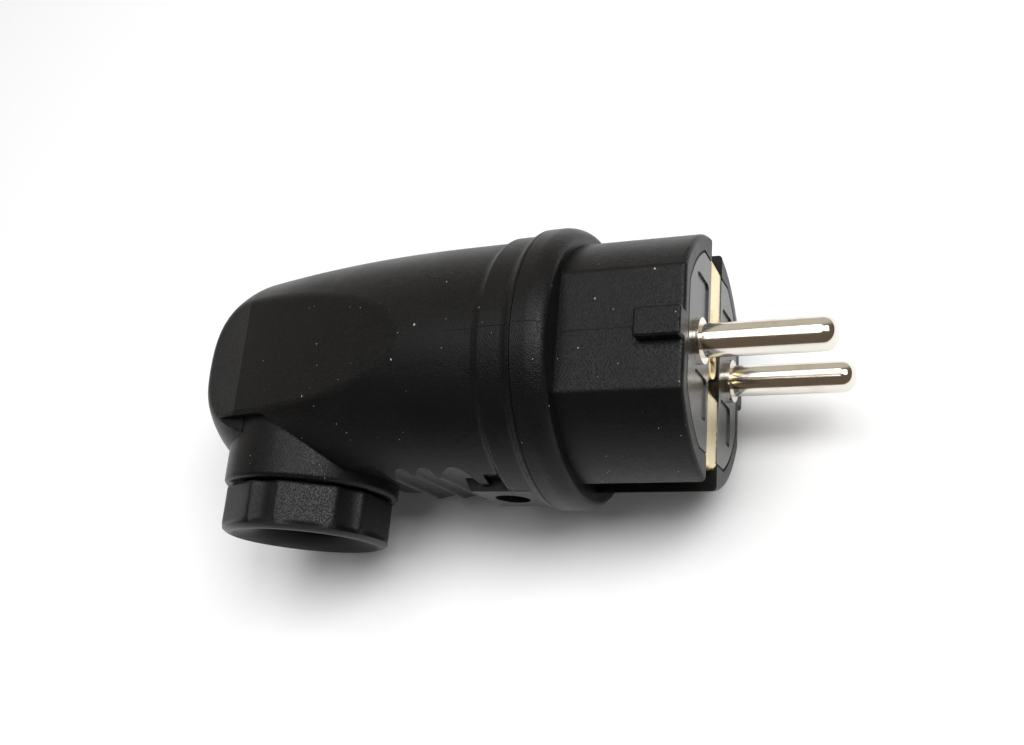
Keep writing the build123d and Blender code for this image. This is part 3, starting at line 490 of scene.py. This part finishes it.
# Screws, terminals and plates. Turned brass for the terminals and the centre screw, and
# zinc-plated steel for the rest, nearly all of it out of sight inside the shells.
turned_brass = worked_metal("turned_brass", (0.70, 0.57, 0.33), (0.55, 0.40, 0.20), 0.30, LINES_ROUND)
for part in ("centre_screw", "terminal_left", "terminal_right", "earth_terminal"):
    dress(part, turned_brass)
zinc_steel = worked_metal("zinc_steel", (0.50, 0.50, 0.51), (0.38, 0.38, 0.40), 0.36, LINES_ACROSS)
for part in (
    "housing_screw", "housing_nut", "terminal_screw_left", "terminal_screw_right",
    "earth_terminal_screw", "clamp_plate_left", "clamp_plate_right", "earth_clamp_plate",
):
    dress(part, zinc_steel)

# Studio. A white table that keeps the plug's shadow, a plain white surrounding for the camera,
# and three soft lights: above, at the right and at the left.
bpy.ops.mesh.primitive_plane_add(size=6.0, location=(0, 0, cad_box[0][2]))
table = bpy.context.object
table.name = "studio_table"
table_white, table_shader = finish_of("table_white", (0.86, 0.86, 0.86), 0.9, gloss=0.0)
table_nodes = link_chain(table_white, [
    ("ShaderNodeLightPath", {}, {}),
    ("ShaderNodeMath", {"operation": "MAXIMUM"}, {0: (0, "Is Camera Ray"), 1: (0, "Is Glossy Ray")}),
    ("ShaderNodeMix",
     {"data_type": "RGBA", 6: (0.80, 0.80, 0.80, 1.0), 7: (1.0, 1.0, 1.0, 1.0)},
     {"Factor": (1, "Value")}),
])
table_white.node_tree.links.new(table_nodes[2].outputs[2], table_shader.inputs["Base Color"])
table.data.materials.append(table_white)

studio = bpy.data.worlds.new("studio_world")
bpy.context.scene.world = studio
studio.use_nodes = True
sky = studio.node_tree.nodes["Background"]
# The camera sees plain white. Shiny surfaces see a beige backdrop behind the plug and a dim brown
# room elsewhere, by how far a direction leans towards the backdrop. Dull ones see an even grey.
room = link_chain(studio, [
    ("ShaderNodeTexCoord", {}, {}),
    ("ShaderNodeVectorMath", {"operation": "DOT_PRODUCT", 1: (-0.15, 0.97, 0.20)},
     {0: (0, "Generated")}),
    ("ShaderNodeMapRange", {"From Min": 0.48, "From Max": 0.80}, {"Value": (1, "Value")}),
    ("ShaderNodeLightPath", {}, {}),
    ("ShaderNodeMix",
     {"data_type": "RGBA", 6: (0.13, 0.10, 0.075, 1.0), 7: (0.60, 0.56, 0.49, 1.0)},
     {"Factor": (2, "Result")}),
    ("ShaderNodeMix", {"data_type": "RGBA", 6: (0.20, 0.20, 0.20, 1.0)},
     {"Factor": (3, "Is Glossy Ray"), 7: (4, 2)}),
    ("ShaderNodeMix", {"data_type": "RGBA", 7: (1.0, 1.0, 1.0, 1.0)},
     {"Factor": (3, "Is Camera Ray"), 6: (5, 2)}),
])
studio.node_tree.links.new(room[6].outputs[2], sky.inputs["Color"])

PLUG_MIDDLE = (-30.0, 0.0, 0.0)
LAMP_DISTANCE = 0.80


def soft_light(name, direction, size, power):
    """A square lamp that faces the plug's middle.

    It stands LAMP_DISTANCE away, along a direction given in the plug's own axes.
    """
    aim = Vector(PLUG_MIDDLE) * MM
    way = (PLUG_TO_ROW @ Vector(direction)).normalized()
    lamp = bpy.data.lights.new(name, "AREA")
    lamp.energy = power
    lamp.size = size
    holder = bpy.data.objects.new(name, lamp)
    holder.location = aim + way * LAMP_DISTANCE
    holder.rotation_euler = way.to_track_quat("Z", "Y").to_euler()
    bpy.context.scene.collection.objects.link(holder)


soft_light("light_above", (-0.06, 0.25, 0.95), 0.56, 3.5)
soft_light("light_right", (0.53, 0.24, 0.81), 0.40, 4.0)
soft_light("light_left", (-0.92, 0.28, 0.30), 0.25, 0.20)

# Camera. It looks down on the plug as the photograph does. Its place and axes are given in the
# plug's own axes and millimetres, and were found from both pins, the nose and the nut.
CAMERA_AT = (35.79, -49.47, 144.13)
CAMERA_RIGHT = (0.9105, 0.0831, -0.4051)
CAMERA_UP = (0.0485, 0.9514, 0.3041)
CAMERA_BACK = (0.4107, -0.2966, 0.8622)
camera = bpy.data.cameras.new("camera")
camera.sensor_width = 36.0
camera.lens = 36.55
camera.clip_start = 0.01
camera_holder = bpy.data.objects.new("camera", camera)
camera_turn = Matrix((CAMERA_RIGHT, CAMERA_UP, CAMERA_BACK)).transposed().to_4x4()
camera_holder.matrix_world = PLUG_TO_ROW @ Matrix.Translation(Vector(CAMERA_AT) * MM) @ camera_turn
bpy.context.scene.collection.objects.link(camera_holder)
bpy.context.scene.camera = camera_holder
bpy.context.scene.view_settings.view_transform = "Standard"
